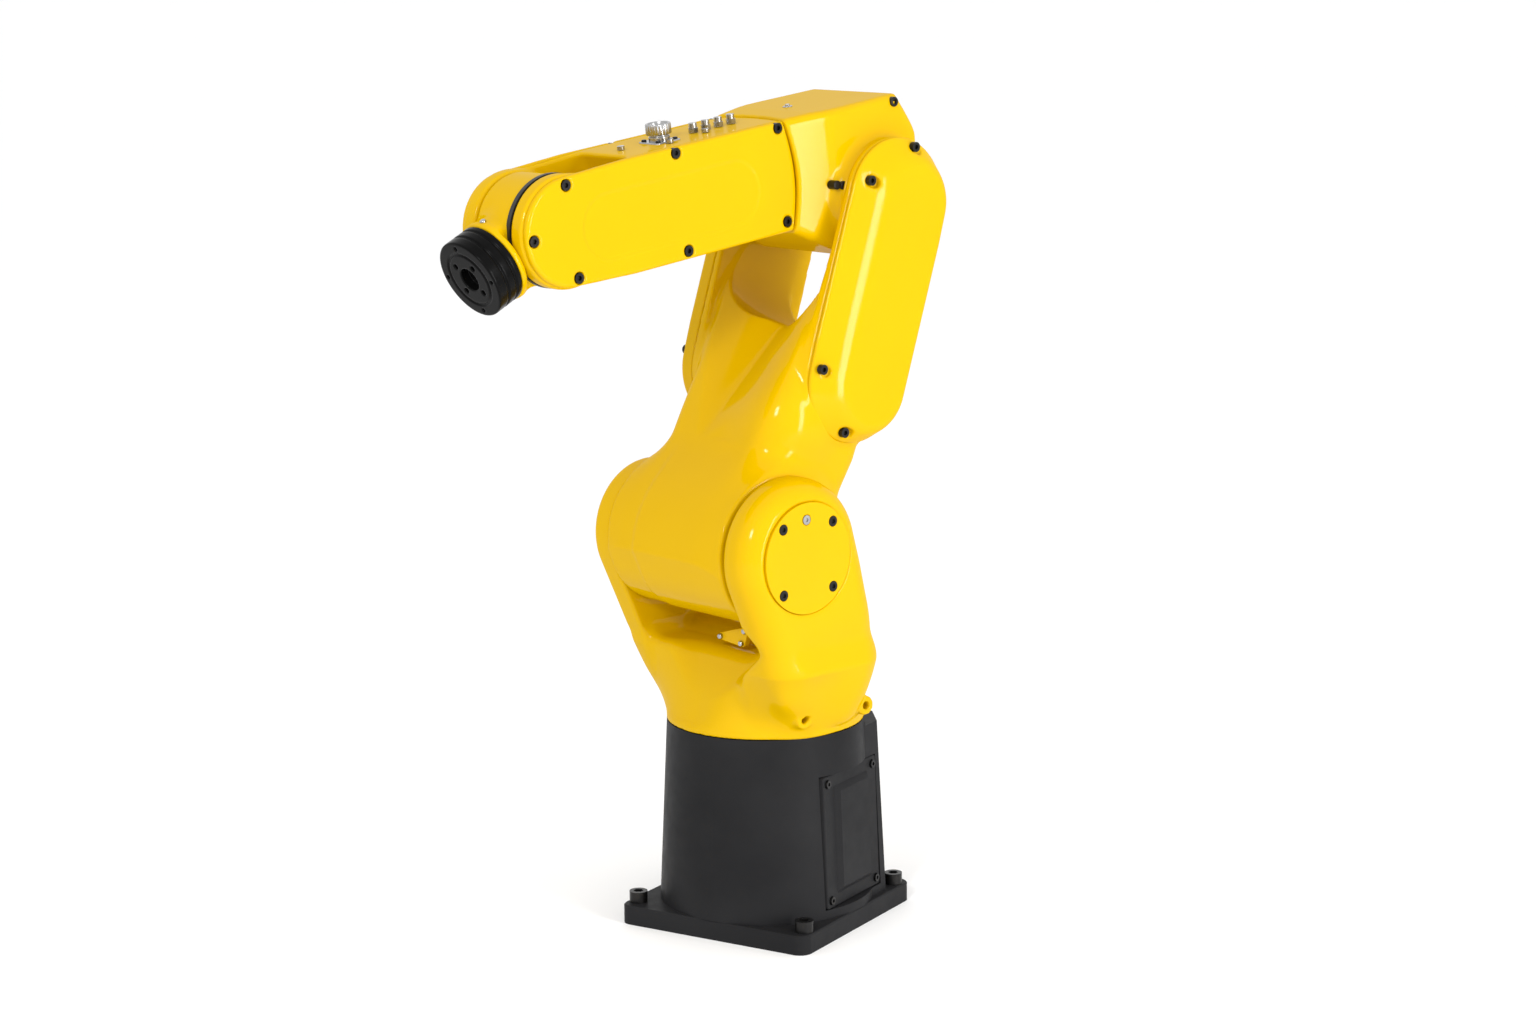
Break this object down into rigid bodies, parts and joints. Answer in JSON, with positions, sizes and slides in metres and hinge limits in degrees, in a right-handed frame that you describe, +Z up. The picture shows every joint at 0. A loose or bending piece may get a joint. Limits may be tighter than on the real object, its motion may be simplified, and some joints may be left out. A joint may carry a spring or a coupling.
{
  "type": "six-axis robot arm",
  "caption": "Compact articulated robot arm: square base plate and column, turret with two ears, forked lower arm, elbow, box forearm, wrist and tool flange.",
  "frame": {"origin": "centre of the base's mounting face", "axes": "+Z up, +X the arm's forward direction when joint 1 is at its own zero, +Y the robot's left; the stored pose turns the arm 17.2 degrees towards -Y"},
  "size_m": [0.4726, 0.256, 0.7227],
  "materials": {
    "yellow_paint": "gloss",
    "grey_paint": "satin",
    "black_screw": "black oxide",
    "bright_metal": "nickel plated",
    "motor_black": "matt",
    "bearing_steel": "ground",
    "seal_rubber": "matt",
    "flange_metal": "black oxide"
  },
  "bodies": {
    "base": {"base_housing": "grey_paint", "mounting_bolts": "black_screw", "base_side_cover": "grey_paint", "base_side_cover_screws": "black_screw", "base_rear_panel": "grey_paint", "rear_panel_screws": "black_screw", "rear_connectors": "bright_metal", "rear_air_ports": "bright_metal", "j1_bearing": "bearing_steel", "j1_reducer": "bearing_steel", "j1_motor": "motor_black"},
    "turret": {"turret_frame": "yellow_paint", "j2_cap": "yellow_paint", "j2_cap_screws": "black_screw", "j2_vent_plug": "bright_metal", "right_ear_cover": "yellow_paint", "right_ear_screws": "black_screw", "j2_motor": "motor_black", "ground_bracket": "yellow_paint", "ground_bracket_screws": "bright_metal"},
    "lower_arm": {"lower_arm_casting": "yellow_paint", "j3_motor": "motor_black", "left_prong_cover": "yellow_paint", "right_prong_cover": "yellow_paint", "left_prong_screws": "black_screw", "right_prong_screws": "black_screw"},
    "elbow": {"elbow_housing": "yellow_paint", "elbow_screws": "black_screw", "elbow_stop": "black_screw", "j4_motor": "motor_black"},
    "forearm": {"forearm_frame": "yellow_paint", "forearm_left_cover": "yellow_paint", "forearm_left_cover_screws": "black_screw", "forearm_right_cover": "yellow_paint", "forearm_right_cover_screws": "black_screw", "tool_connector": "bright_metal", "air_fittings": "bright_metal", "forearm_plugs": "bright_metal", "j5_motor": "motor_black", "j6_motor": "motor_black"},
    "wrist": {"wrist_body": "yellow_paint", "wrist_seal": "seal_rubber"},
    "flange": {"tool_flange": "flange_metal"}
  },
  "joints": [
    {"name": "j1_turn", "type": "hinge", "parent": "base", "child": "turret", "pos_m": [0, 0, 0.18], "axis": [0, 0, 1], "range_deg": [-152.8, 187.2]},
    {"name": "j2_shoulder", "type": "hinge", "parent": "turret", "child": "lower_arm", "pos_m": [0.04776, -0.01478, 0.345], "axis": [0.2957, 0.9553, 0], "range_deg": [-75, 120]},
    {"name": "j3_elbow", "type": "hinge", "parent": "lower_arm", "child": "elbow", "pos_m": [-0.08239, 0.0255, 0.63455], "axis": [-0.2957, -0.9553, 0], "range_deg": [-28, 226]},
    {"name": "j4_forearm_roll", "type": "hinge", "parent": "elbow", "child": "forearm", "pos_m": [-0.07809, 0.02417, 0.66925], "axis": [0.9473, -0.2932, -0.1288], "range_deg": [-190, 190]},
    {"name": "j5_wrist_bend", "type": "hinge", "parent": "forearm", "child": "wrist", "pos_m": [0.22979, -0.07113, 0.6274], "axis": [-0.2957, -0.9553, 0], "range_deg": [-105.2, 144.8]},
    {"name": "j6_flange_turn", "type": "hinge", "parent": "wrist", "child": "flange", "pos_m": [0.29607, -0.09165, 0.59174], "axis": [0.8496, -0.263, -0.4571], "range_deg": [-360, 360]}
  ]
}
